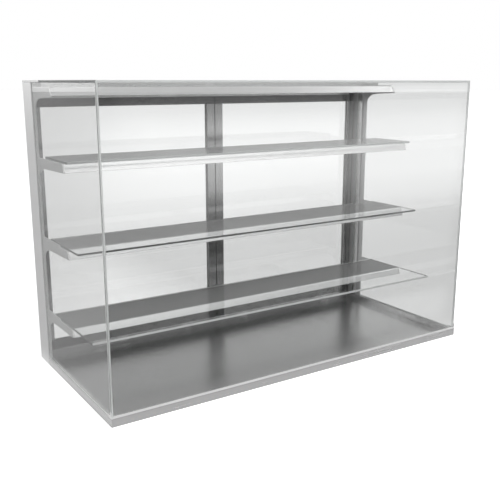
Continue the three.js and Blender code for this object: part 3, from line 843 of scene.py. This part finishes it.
def lathe(shape, profile):
    """Turns a profile of (radius, height) that starts and ends on the axis."""
    turns = [math.tau * step / HEAD_STEPS for step in range(HEAD_STEPS)]
    rings = []
    for radius, height in profile:
        around = turns if radius else [0.0]
        rings.append([
            shape.verts.new((radius * math.cos(turn), radius * math.sin(turn), height))
            for turn in around
        ])
    for near, far in zip(rings, rings[1:]):
        for i in range(HEAD_STEPS):
            j = (i + 1) % HEAD_STEPS
            corners = [
                near[i % len(near)], near[j % len(near)], far[j % len(far)], far[i % len(far)]
            ]
            unique = list(dict.fromkeys(corners))
            if len(unique) > 2:
                shape.faces.new(unique)


def scratch_object(name, shape):
    bmesh.ops.recalc_face_normals(shape, faces=shape.faces)
    mesh = bpy.data.meshes.new(name)
    shape.to_mesh(mesh)
    shape.free()
    made = bpy.data.objects.new(name, mesh)
    bpy.context.scene.collection.objects.link(made)
    return made


def screw_mesh(profile):
    """A screw whose head has its top at height 0, with a cross cut into it."""
    body = bmesh.new()
    lathe(body, profile)
    blank = scratch_object("screw_blank", body)
    used = [blank]
    for arm_x, arm_y in ((RECESS_ARM, RECESS_HALF), (RECESS_HALF, RECESS_ARM)):
        slab = bmesh.new()
        box_into(slab, (-arm_x, -arm_y, -RECESS_DEPTH), (arm_x, arm_y, ABOVE_HEAD))
        used.append(scratch_object("recess_slab", slab))
        cutting = blank.modifiers.new("recess", "BOOLEAN")
        cutting.operation = "DIFFERENCE"
        cutting.solver = "EXACT"
        cutting.object = used[-1]
    evaluated = blank.evaluated_get(bpy.context.evaluated_depsgraph_get())
    mesh = bpy.data.meshes.new_from_object(evaluated)
    for scratch in used:
        bpy.data.objects.remove(scratch)
    return mesh


def placed_screw(mesh, node, name, head_way):
    """Copies the screw so that its top, at height 0, meets the solid's head end."""
    low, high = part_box(node)
    middle = (low + high) / 2
    tops = {
        "up": ((middle.x, middle.y, high.z), Matrix.Identity(4)),
        "down": ((middle.x, middle.y, low.z), Matrix.Rotation(math.pi, 4, "X")),
        "back": ((middle.x, high.y, middle.z), Matrix.Rotation(-math.pi / 2, 4, "X")),
    }
    spot, turn = tops[head_way]
    shape = bmesh.new()
    shape.from_mesh(mesh)
    bmesh.ops.transform(shape, matrix=Matrix.Translation(spot) @ turn, verts=shape.verts)
    stand_in(name, shape, [screw_steel], node)


COUNTERSUNK = (
    (0, -0.009), (0.0009, -0.009), (0.0015, -0.0082), (0.0015, -0.0017), (0.0031, -0.0001),
    (0.0029, 0.0), (0.0015, 0.0), (0, 0.0),
)
LOW_HEADED = (
    (0, -0.0106), (0.0009, -0.0106), (0.0015, -0.0098), (0.0015, -0.0016), (0.0032, -0.0016),
    (0.0032, -0.0009), (0.0029, -0.0004), (0.0022, -0.0001), (0.0010, 0.0), (0, 0.0),
)
countersunk = screw_mesh(COUNTERSUNK)
low_headed = screw_mesh(LOW_HEADED)
for side in SIDES:
    for level, head_way in (("lower", "up"), ("upper", "down")):
        softened(f"{side}_{level}_pivot", f"{side}_{level}_pivot_plate", screw_steel, CUT_EDGE)
        for count in (1, 2):
            node = f"{side}_{level}_pivot_screw_{count}"
            placed_screw(countersunk, node, f"{node}_head", head_way)
        node = f"{side}_pull_{level}_screw"
        placed_screw(low_headed, node, f"{node}_head", "back")
print("faces in a screw", len(countersunk.polygons), "or", len(low_headed.polygons))

# %% [markdown]
# ## Catch, driver, inlet and switch
# These are bought-in parts. Moulded shells have small radii all round, so one radius for
# each is enough and nothing about them is rebuilt.

# %% Moulded parts
CATCH_EDGE = 0.0006
DRIVER_EDGE = 0.0012
SMALL_EDGE = 0.0004
ROCKER_EDGE = 0.0003
BLADES = ("left", "right", "earth")
softened("door_catch", "door_catch_shell", black_plastic, CATCH_EDGE)
softened("led_driver", "led_driver_case", driver_plastic, DRIVER_EDGE, steps=3)
softened("power_inlet", "power_inlet_shell", black_plastic, SMALL_EDGE)
softened("switch_bezel", "switch_bezel_shell", black_plastic, SMALL_EDGE)
softened("light_switch", "light_switch_rocker_cap", black_plastic, ROCKER_EDGE)
for which in BLADES:
    softened(f"inlet_{which}_blade", f"inlet_{which}_contact", contact_plate, SMALL_EDGE)
print("inlet blades", len(BLADES))

# %% [markdown]
# ## The rocker's marks
# The rocker has the usual marks for on and off, a bar and a ring, moulded a little proud
# of its two halves. A printed mark would need an image, so they are thin solids. Each is
# built in the plane of its own half, because the halves slope two ways.

# %% A bar for on and a ring for off
MARK_RAISED = 0.00012
MARK_SUNK = 0.0001
RING_RADII = (0.0017, 0.0012)
BAR_HALVES = (0.0003, 0.0017)
RING_STEPS = 40
FACES_REAR = 0.9


def rocker_mark(name, face, ring=None, bar=None):
    """A bar or a ring that stands just proud of one half of the rocker."""
    up = face.normal.cross(Vector((1.0, 0.0, 0.0))).normalized()
    if up.z < 0:
        up.negate()
    middle = face.calc_center_median()

    def spot(across, along, proud):
        return middle + Vector((across, 0.0, 0.0)) + up * along + face.normal * proud

    shape = bmesh.new()
    if ring:
        outer, inner = ring
        section = (
            (outer, -MARK_SUNK), (outer, MARK_RAISED), (inner, MARK_RAISED), (inner, -MARK_SUNK)
        )
        rings = []
        for step in range(RING_STEPS):
            turn = math.tau * step / RING_STEPS
            rings.append([
                shape.verts.new(spot(radius * math.cos(turn), radius * math.sin(turn), proud))
                for radius, proud in section
            ])
        for near, far in zip(rings, rings[1:] + rings[:1]):
            for i in range(len(section)):
                j = (i + 1) % len(section)
                shape.faces.new((near[i], near[j], far[j], far[i]))
    else:
        half_wide, half_high = bar
        corners = ((-1, -1), (1, -1), (1, 1), (-1, 1))
        near, far = (
            [spot(x * half_wide, z * half_high, proud) for x, z in corners]
            for proud in (-MARK_SUNK, MARK_RAISED)
        )
        prism(shape, near, far)
    stand_in(
        name, shape, [marking_ink], body=BODY_OF["light_switch"], slot=SLOT_OF["light_switch"]
    )


rocker = softened_mesh("light_switch", 0.0)
rocker.normal_update()
halves = sorted(
    (face for face in rocker.faces if face.normal.y > FACES_REAR),
    key=lambda face: face.calc_center_median().z,
)
rocker_mark("rocker_off_mark", halves[0], ring=RING_RADII)
rocker_mark("rocker_on_mark", halves[-1], bar=BAR_HALVES)
print("rocker halves at", [round(face.calc_center_median().z, 4) for face in halves])
rocker.free()

# %% [markdown]
# ## A studio that knows who looks
# The case stands on a pale floor in front of a white backdrop. White all round would leave
# metal and glass without shape, since they show what they mirror, and real walls and
# screens would have to be built and kept out of the picture. Instead the floor and the sky
# ask which ray is looking: one from the lens itself, one that came straight through the
# panes, or one that a surface mirrored.

# %% Which ray is looking
def looking(finish):
    """Shares for the lens itself, for a straight look through panes, and for a mirror."""
    def of(name):
        return finish.node("ShaderNodeLightPath", out=name)

    mirror = finish.node(
        "ShaderNodeMath", {"operation": "GREATER_THAN"}, {0: of("Glossy Depth"), 1: 0.5}
    )
    through = of("Is Transmission Ray") * (1 - mirror)
    mirror = mirror * (1 - of("Is Diffuse Ray"))
    return of("Is Camera Ray"), through, mirror


def risen(distance, start, reach):
    """Goes from 0 at start to 1 once it is past by reach."""
    return ((distance - start) / reach).clamped()


def stepped(distance, first, steps):
    """A level that changes by so much at each start, over each reach."""
    level = first
    for start, reach, change in steps:
        level = level + change * risen(distance, start, reach)
    return level


# %% [markdown]
# ## Floor
# The floor takes shadows as any matt surface does, and a little of its own light lifts it
# to white for the lens. Through the panes it shows a painted shadow: it is a little darker
# close to the case, and less so on the left. Metal needs something dark to mirror: it sees
# the floor fall off close to the front and come back further out, as in a studio where only
# the backdrop is lit. Beside and behind the case it sees an even grey, with a painted shade
# behind it. Pieces of dark card would do the same in a real studio, but here they would
# also throw shadows.

# %% Floor levels
# A pair is where a change starts and how far it reaches; a third number is the change.
FLOOR_RADIUS = 60.0
FLOOR_SEGMENTS = 96
FLOOR_GAP = 0.0005
FLOOR_TONE = 0.80
LENS_LIFT = 0.55
# Seen through the panes: a painted shadow near the case, lighter far behind and on the left.
THROUGH_NEAR, THROUGH_FAR_MORE, THROUGH_LEFT_MORE = 0.83, 0.15, 0.20
FAR_BEHIND = (1.40, 0.60)
RIGHT_HALF = (-0.10, 0.30)
FRONT_AT_CASE = 0.47
FRONT_STEPS = (
    (0.04, 0.08, -0.46), (1.10, 2.20, 0.99), (7.0, 8.0, -0.65), (16.0, 10.0, -0.23)
)
LEFT_SLANT = 0.42
LEFT_OVER = (-0.8, 0.8)
LEFT_FROM = (0.6, 1.0)
LEFT_LESS = 0.45
ASIDE, ASIDE_NEAR_MORE = 0.36, 0.30
ASIDE_NEAR = (0.012, 0.02)
ASIDE_START, ASIDE_END, ASIDE_CORNER = (0.0, 0.01), (0.15, 0.20), (0.02, 0.05)
REAR_HALF = (-0.10, 0.30)
# A painted shade on the floor behind the case, as metal mirrors it.
PAINTED_SHADE = 0.14
PAINTED_SHADE_START, PAINTED_SHADE_END = (0.0, 0.02), (0.30, 1.50)


# %% Lay the floor
def pale_floor():
    shape = bmesh.new()
    bmesh.ops.create_circle(
        shape, cap_ends=True, segments=FLOOR_SEGMENTS, radius=FLOOR_RADIUS
    )
    mesh = bpy.data.meshes.new("studio_floor")
    shape.to_mesh(mesh)
    shape.free()
    floor = bpy.data.objects.new("studio_floor", mesh)
    floor.location.z = cad_box[0].z - FLOOR_GAP
    bpy.context.scene.collection.objects.link(floor)
    finish = Finish("studio_floor")
    lens_ray, through, mirror = looking(finish)
    x, y = (finish.part(finish.place(), axis) for axis in ("X", "Y"))
    in_front = cad_box[0].y - y
    beside = cad_box[0].x - x
    behind = y - cad_box[1].y

    # Through the panes the floor has a painted shadow: darker near the case, lighter far behind
    # and near the left.
    far = risen(y, *FAR_BEHIND)
    near_left = (1 - risen(x, *RIGHT_HALF)) * (1 - far)
    seen_through_painted_shadow = THROUGH_NEAR + THROUGH_FAR_MORE * far + THROUGH_LEFT_MORE * near_left

    front = stepped(in_front, FRONT_AT_CASE, FRONT_STEPS)
    to_the_left = 1 - risen(x - LEFT_SLANT * in_front, *LEFT_OVER)
    front = front * (1 - LEFT_LESS * to_the_left * risen(in_front, *LEFT_FROM))

    left_strip = risen(beside, *ASIDE_START) * (1 - risen(beside, *ASIDE_END))
    left_strip = left_strip * (1 - risen(in_front, *ASIDE_CORNER))
    is_aside = (left_strip + risen(y, *REAR_HALF)).clamped()
    aside = ASIDE + ASIDE_NEAR_MORE * (1 - risen(beside, *ASIDE_NEAR))
    # Painted shade behind the case, for mirrors.
    painted_shade = PAINTED_SHADE * risen(behind, *PAINTED_SHADE_START) * (1 - risen(behind, *PAINTED_SHADE_END))
    painted_shade = painted_shade * (1 - risen(beside, *ASIDE_START))
    mirrored = front + is_aside * (aside - painted_shade - front)

    matt = finish.node(
        "ShaderNodeBsdfDiffuse", None, {"Color": grey(FLOOR_TONE), "Roughness": 1.0}
    )
    lift = finish.node("ShaderNodeEmission", None, {"Color": LENS_LIFT * lens_ray})
    for_lens = finish.node("ShaderNodeAddShader", None, {0: matt, 1: lift})
    for_others = finish.node(
        "ShaderNodeEmission", None, {"Color": through * seen_through_painted_shadow + mirror * mirrored}
    )
    both = finish.node(
        "ShaderNodeMixShader", None, {0: (through + mirror).clamped(), 1: for_lens, 2: for_others}
    )
    finish.node("ShaderNodeOutputMaterial", None, {"Surface": both}, out=None)
    mesh.materials.append(finish.block)
    print("floor nodes", len(finish.tree.nodes))


pale_floor()

# %% [markdown]
# ## Sky
# The sky is white for the lens and one plain level for matt surfaces, so that colours
# come out as they are written. In a mirror it has bands of wall, dim ceiling and lamps,
# which give the shelves and the fronts of the channels their light and dark strips. Lamps
# of just those sizes could be hung there, but a ramp over the height is quicker to adjust.

# %% Sky
PLAIN_LIGHT = 0.70
THROUGH_PANES = 0.86
LEFT_GLOW, LEFT_SPREAD = 0.60, 2
FRONT_LAMPS = 1.65
FRONT_BLEND = 2.5
BANDS_BEHIND = (
    (0.0, 0.75), (0.12, 0.50), (0.20, 0.80), (0.31, 0.86), (0.37, 0.54), (0.44, 0.25),
    (0.56, 0.15), (1.0, 0.12),
)
BANDS_IN_FRONT = (
    (0.0, 0.36), (0.03, 0.08), (0.30, 0.02), (0.40, 0.36), (0.48, 0.80), (0.58, 1.0),
    (0.68, 1.0), (0.76, 0.20), (0.90, 0.20), (0.94, 1.0), (1.0, 1.0),
)


def bands(finish, height, stops):
    ramped = finish.node("ShaderNodeValToRGB", None, {"Fac": height})
    ramp = ramped.socket.node.color_ramp
    while len(ramp.elements) < len(stops):
        ramp.elements.new(0.5)
    for stop, (position, level) in zip(ramp.elements, stops):
        stop.position = position
        stop.color = grey(level)
    return ramped


world = bpy.data.worlds.new("studio")
bpy.context.scene.world = world
sky = Finish("studio", world)
lens_ray, through, mirror = looking(sky)
way = sky.node("ShaderNodeTexCoord", out="Generated")
rightward, backward, height = (sky.part(way, axis) for axis in ("X", "Y", "Z"))
behind = bands(sky, height, BANDS_BEHIND) + LEFT_GLOW * (-LEFT_SPREAD * rightward).clamped()
in_front = FRONT_LAMPS * bands(sky, height, BANDS_IN_FRONT)
mirrored = behind + (0.5 - FRONT_BLEND * backward).clamped() * (in_front - behind)
unseen = PLAIN_LIGHT + mirror * (mirrored - PLAIN_LIGHT)
unseen = unseen + through * (THROUGH_PANES - PLAIN_LIGHT)
strength = lens_ray + (1 - lens_ray) * unseen
background = sky.node("ShaderNodeBackground", None, {"Color": grey(1.0), "Strength": strength})
sky.node("ShaderNodeOutputWorld", None, {"Surface": background}, out=None)
print("sky nodes", len(sky.tree.nodes))

# %% [markdown]
# ## Softboxes
# Three large, weak softboxes give the floor its soft shadow and the metal its shading
# from the left, the front and the top. Small lamps would be brighter and cheaper, but
# they throw hard shadows. Only the front one shows in mirrors, where a real one would.

# %% Softboxes
def softbox(name, place, target, wide, high, watts, mirrored=True):
    lamp = bpy.data.lights.new(name, "AREA")
    lamp.shape = "RECTANGLE"
    lamp.size = wide
    lamp.size_y = high
    lamp.energy = watts
    box = bpy.data.objects.new(name, lamp)
    box.location = place
    box.rotation_euler = (Vector(target) - Vector(place)).to_track_quat("-Z", "Y").to_euler()
    box.visible_camera = False
    box.visible_transmission = False
    box.visible_glossy = mirrored
    bpy.context.scene.collection.objects.link(box)
    return box


CASE_MIDDLE = (0.0, 0.0, 0.40)
SOFTBOXES = (
    softbox("front_softbox", (2.0, -2.7, 3.5), CASE_MIDDLE, wide=3.0, high=2.0, watts=50.0),
    softbox(
        "left_softbox", (-3.4, -0.6, 2.2), CASE_MIDDLE,
        wide=2.4, high=2.0, watts=16.0, mirrored=False,
    ),
    softbox(
        "top_softbox", (0.2, 0.4, 4.0), CASE_MIDDLE,
        wide=3.4, high=2.6, watts=24.0, mirrored=False,
    ),
)
print("softboxes", [box.name for box in SOFTBOXES])
